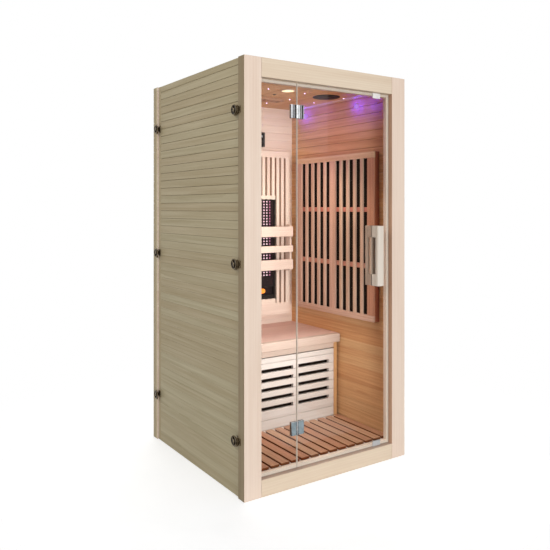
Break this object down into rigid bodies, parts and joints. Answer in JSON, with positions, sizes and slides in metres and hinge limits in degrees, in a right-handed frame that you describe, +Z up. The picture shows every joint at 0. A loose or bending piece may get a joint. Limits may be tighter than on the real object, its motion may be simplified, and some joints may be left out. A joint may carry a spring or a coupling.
{
  "type": "infrared sauna cabin",
  "caption": "Upright wooden infrared sauna cabin with boarded panels held by cam latches, a glass front with a hinged door, slatted heater grilles and a slotted bench.",
  "frame": {"origin": "middle of the base's underside, on the ground under the middle of the cabin's panels", "axes": "+Z up, -Y towards the glass front, +X to the right of someone who faces the front"},
  "size_m": [0.9862, 0.9716, 1.9],
  "materials": {
    "outer_wood": "bare planed hemlock boards, matte",
    "front_wood": "bare planed hemlock, fine sanded",
    "inner_wood": "bare planed boards, warm",
    "pale_wood": "bare planed hemlock, pale",
    "glass": "clear tempered glass with green edges",
    "hinge_chrome": "polished",
    "strike_steel": "brushed",
    "latch_bronze": "dark antique bronze, worn edges",
    "black_plastic": "black, fine grain",
    "white_plastic": "translucent lens",
    "carbon_heater": "black carbon film panel"
  },
  "bodies": {
    "cabin": {"base_panel": "inner_wood", "duckboard": "inner_wood", "left_wall_cladding": "outer_wood", "left_wall_lining": "inner_wood", "right_wall_cladding": "outer_wood", "right_wall_lining": "inner_wood", "back_wall_cladding": "outer_wood", "back_wall_lining": "inner_wood", "front_left_post": "front_wood", "front_right_post": "front_wood", "front_top_rail": "front_wood", "front_bottom_rail": "front_wood", "top_door_magnet": "black_plastic", "bottom_door_magnet": "black_plastic", "fixed_glass": "glass", "upper_hinge_fixed_leaf": "hinge_chrome", "lower_hinge_fixed_leaf": "hinge_chrome", "ceiling_panel": "inner_wood", "roof_panel": "outer_wood", "power_unit": "black_plastic", "ceiling_speaker": "black_plastic", "ceiling_lamp": "white_plastic", "vent_shaft": "pale_wood", "vent_rails": "pale_wood", "bench_seat": "pale_wood", "bench_front_grille": "pale_wood", "bench_left_post": "pale_wood", "bench_right_post": "pale_wood", "bench_heater": "carbon_heater", "left_heater_grille": "inner_wood", "left_heater": "carbon_heater", "right_heater_grille": "inner_wood", "right_heater": "carbon_heater", "back_grille": "pale_wood", "left_light_unit": "black_plastic", "right_light_unit": "black_plastic", "backrest": "pale_wood", "control_panel": "black_plastic", "front_colour_lamp": "white_plastic", "rear_colour_lamp": "white_plastic"},
    "door": {"door_glass": "glass", "upper_hinge_door_leaf": "hinge_chrome", "lower_hinge_door_leaf": "hinge_chrome", "inner_handle": "pale_wood", "outer_handle": "pale_wood", "top_door_strike": "strike_steel", "bottom_door_strike": "strike_steel"},
    "vent": {"vent_slide": "pale_wood"},
    "left_front_lower_cam": {"left_front_lower_latch": "latch_bronze"},
    "left_front_middle_cam": {"left_front_middle_latch": "latch_bronze"},
    "left_front_upper_cam": {"left_front_upper_latch": "latch_bronze"},
    "left_rear_lower_cam": {"left_rear_lower_latch": "latch_bronze"},
    "left_rear_middle_cam": {"left_rear_middle_latch": "latch_bronze"},
    "left_rear_upper_cam": {"left_rear_upper_latch": "latch_bronze"},
    "right_front_lower_cam": {"right_front_lower_latch": "latch_bronze"},
    "right_front_middle_cam": {"right_front_middle_latch": "latch_bronze"},
    "right_front_upper_cam": {"right_front_upper_latch": "latch_bronze"},
    "right_rear_lower_cam": {"right_rear_lower_latch": "latch_bronze"},
    "right_rear_middle_cam": {"right_rear_middle_latch": "latch_bronze"},
    "right_rear_upper_cam": {"right_rear_upper_latch": "latch_bronze"}
  },
  "joints": [
    {"name": "door_swing", "type": "hinge", "parent": "cabin", "child": "door", "pos_m": [-0.182, -0.4586, 0], "axis": [0, 0, -1], "range_deg": [0, 165]},
    {"name": "vent_travel", "type": "slide", "parent": "cabin", "child": "vent", "axis": [-1, 0, 0], "range_m": [0, 0.095]},
    {"name": "left_front_lower_turn", "type": "hinge", "parent": "cabin", "child": "left_front_lower_cam", "pos_m": [-0.4665, -0.411, 0.247], "axis": [1, 0, 0], "range_deg": [0, 120]},
    {"name": "left_front_middle_turn", "type": "hinge", "parent": "cabin", "child": "left_front_middle_cam", "pos_m": [-0.4665, -0.411, 1.008], "axis": [1, 0, 0], "range_deg": [0, 120]},
    {"name": "left_front_upper_turn", "type": "hinge", "parent": "cabin", "child": "left_front_upper_cam", "pos_m": [-0.4665, -0.411, 1.672], "axis": [1, 0, 0], "range_deg": [0, 120]},
    {"name": "left_rear_lower_turn", "type": "hinge", "parent": "cabin", "child": "left_rear_lower_cam", "pos_m": [-0.4665, 0.411, 0.247], "axis": [-1, 0, 0], "range_deg": [0, 120]},
    {"name": "left_rear_middle_turn", "type": "hinge", "parent": "cabin", "child": "left_rear_middle_cam", "pos_m": [-0.4665, 0.411, 1.008], "axis": [-1, 0, 0], "range_deg": [0, 120]},
    {"name": "left_rear_upper_turn", "type": "hinge", "parent": "cabin", "child": "left_rear_upper_cam", "pos_m": [-0.4665, 0.411, 1.672], "axis": [-1, 0, 0], "range_deg": [0, 120]},
    {"name": "right_front_lower_turn", "type": "hinge", "parent": "cabin", "child": "right_front_lower_cam", "pos_m": [0.4665, -0.411, 0.247], "axis": [1, 0, 0], "range_deg": [0, 120]},
    {"name": "right_front_middle_turn", "type": "hinge", "parent": "cabin", "child": "right_front_middle_cam", "pos_m": [0.4665, -0.411, 1.008], "axis": [1, 0, 0], "range_deg": [0, 120]},
    {"name": "right_front_upper_turn", "type": "hinge", "parent": "cabin", "child": "right_front_upper_cam", "pos_m": [0.4665, -0.411, 1.672], "axis": [1, 0, 0], "range_deg": [0, 120]},
    {"name": "right_rear_lower_turn", "type": "hinge", "parent": "cabin", "child": "right_rear_lower_cam", "pos_m": [0.4665, 0.411, 0.247], "axis": [-1, 0, 0], "range_deg": [0, 120]},
    {"name": "right_rear_middle_turn", "type": "hinge", "parent": "cabin", "child": "right_rear_middle_cam", "pos_m": [0.4665, 0.411, 1.008], "axis": [-1, 0, 0], "range_deg": [0, 120]},
    {"name": "right_rear_upper_turn", "type": "hinge", "parent": "cabin", "child": "right_rear_upper_cam", "pos_m": [0.4665, 0.411, 1.672], "axis": [-1, 0, 0], "range_deg": [0, 120]}
  ]
}
